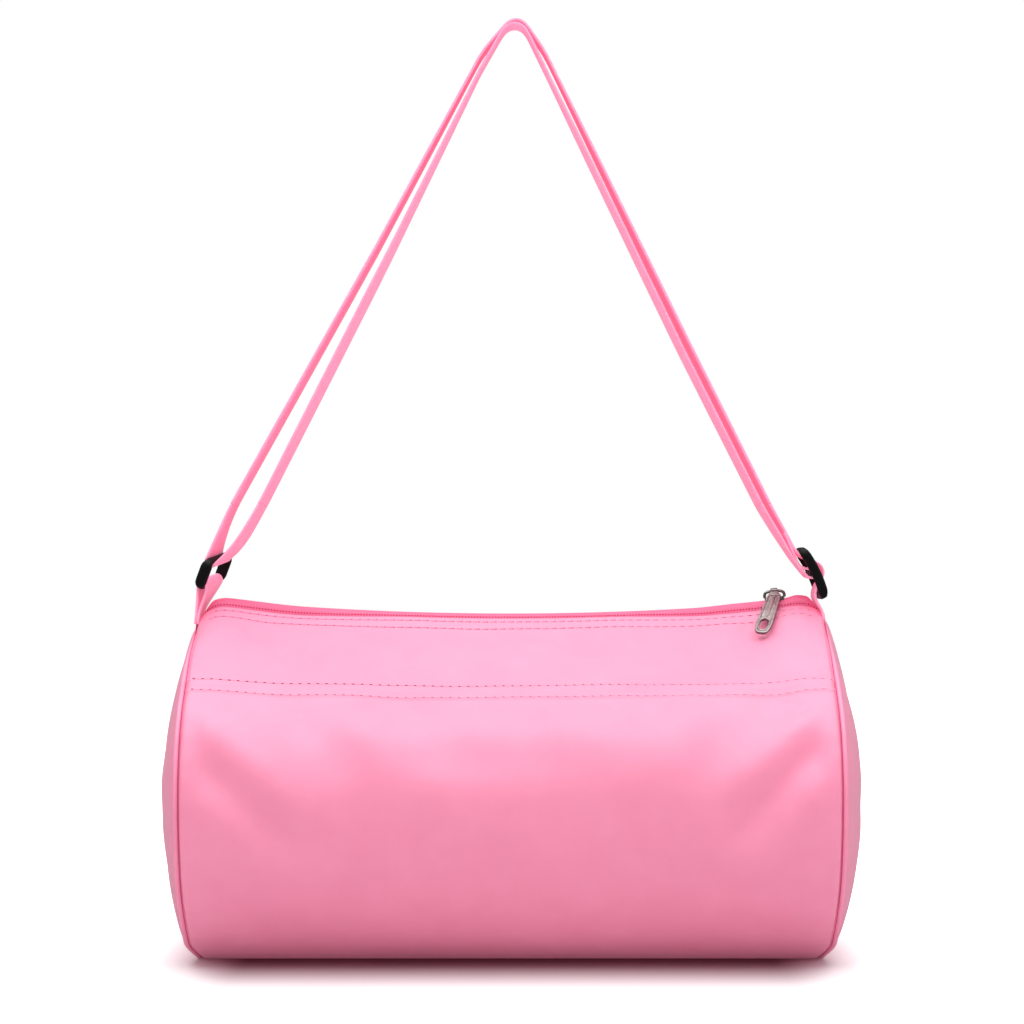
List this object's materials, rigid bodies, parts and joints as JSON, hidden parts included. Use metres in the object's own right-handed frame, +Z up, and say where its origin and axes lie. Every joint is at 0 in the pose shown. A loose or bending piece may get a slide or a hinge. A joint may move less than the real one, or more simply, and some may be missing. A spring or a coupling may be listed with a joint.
{
  "type": "barrel bag",
  "caption": "Soft barrel bag in pink nylon with a zipped top, domed sewn ends, a front slip pocket and a doubled webbing shoulder strap on a ring and an adjuster.",
  "frame": {"origin": "on the floor under the middle of the bag", "axes": "+X along the barrel to the adjuster's end, +Z up, front pocket towards -Y"},
  "size_m": [0.4446, 0.2375, 0.5962],
  "materials": {
    "nylon": "fine plain weave, soft sheen",
    "binding": "folded tape",
    "webbing": "flat woven webbing",
    "zipper_tape": "woven tape",
    "zipper_coil": "moulded coil",
    "zipper_metal": "dark antique nickel",
    "black_plastic": "moulded acetal"
  },
  "bodies": {
    "bag": {"body_panel": "nylon", "left_end_panel": "nylon", "right_end_panel": "nylon", "left_seam_binding": "binding", "right_seam_binding": "binding", "front_pocket_panel": "nylon", "left_tab": "webbing", "right_anchor_webbing": "webbing", "strap_ring_turn": "webbing", "strap_sewn_end": "webbing"},
    "front_mouth": {"front_mouth_panel": "nylon", "zipper_tape_front": "zipper_tape", "zipper_coil_front": "zipper_coil"},
    "rear_mouth": {"rear_mouth_panel": "nylon", "zipper_tape_rear": "zipper_tape", "zipper_coil_rear": "zipper_coil"},
    "slider": {"zipper_slider": "zipper_metal", "zipper_bail": "zipper_metal"},
    "pull": {"zipper_pull": "zipper_metal"},
    "ring": {"strap_ring": "black_plastic"},
    "adjuster": {"tri_glide": "black_plastic"},
    "strap": {"strap_outer_run": "webbing", "strap_inner_run": "webbing"}
  },
  "joints": [
    {"name": "zipper_travel", "type": "hinge", "parent": "bag", "child": "slider", "pos_m": [0, 0, 2.19119], "axis": [0, 1, 0], "range_deg": [0, 9.85]},
    {"name": "front_mouth_open", "type": "hinge", "parent": "bag", "child": "front_mouth", "pos_m": [0, -0.07, 0.1729], "axis": [1, 0, 0], "range_deg": [0, 35], "deforming": ["front_mouth_panel", "zipper_tape_front", "zipper_coil_front"]},
    {"name": "rear_mouth_open", "type": "hinge", "parent": "bag", "child": "rear_mouth", "pos_m": [0, 0.07, 0.1729], "axis": [-1, 0, 0], "range_deg": [0, 35], "deforming": ["rear_mouth_panel", "zipper_tape_rear", "zipper_coil_rear"]},
    {"name": "pull_swing", "type": "hinge", "parent": "slider", "child": "pull", "pos_m": [0.1688, 0, 0.23122], "axis": [-0.9963, 0, -0.0858], "range_deg": [0, 245]},
    {"name": "ring_swing", "type": "hinge", "parent": "bag", "child": "ring", "pos_m": [-0.19349, 0, 0.2332], "axis": [0.3193, 0.9397, -0.1226], "range_deg": [-20, 20], "deforming": ["left_tab", "strap_ring_turn"]},
    {"name": "adjuster_tilt", "type": "hinge", "parent": "bag", "child": "adjuster", "pos_m": [0.1895, 0, 0.243], "axis": [0, 1, 0], "range_deg": [-12, 12], "deforming": ["right_anchor_webbing", "strap_sewn_end"]},
    {"name": "strap_swing", "type": "hinge", "parent": "bag", "child": "strap", "pos_m": [0, 0, 0.285], "axis": [1, 0, 0], "range_deg": [-135, 135], "deforming": ["strap_ring_turn", "strap_sewn_end", "right_anchor_webbing", "left_tab"]}
  ],
  "couplings": [
    {"joint": "front_mouth_open", "follows": "zipper_travel", "ratio": 3.5551},
    {"joint": "rear_mouth_open", "follows": "zipper_travel", "ratio": 3.5551}
  ]
}
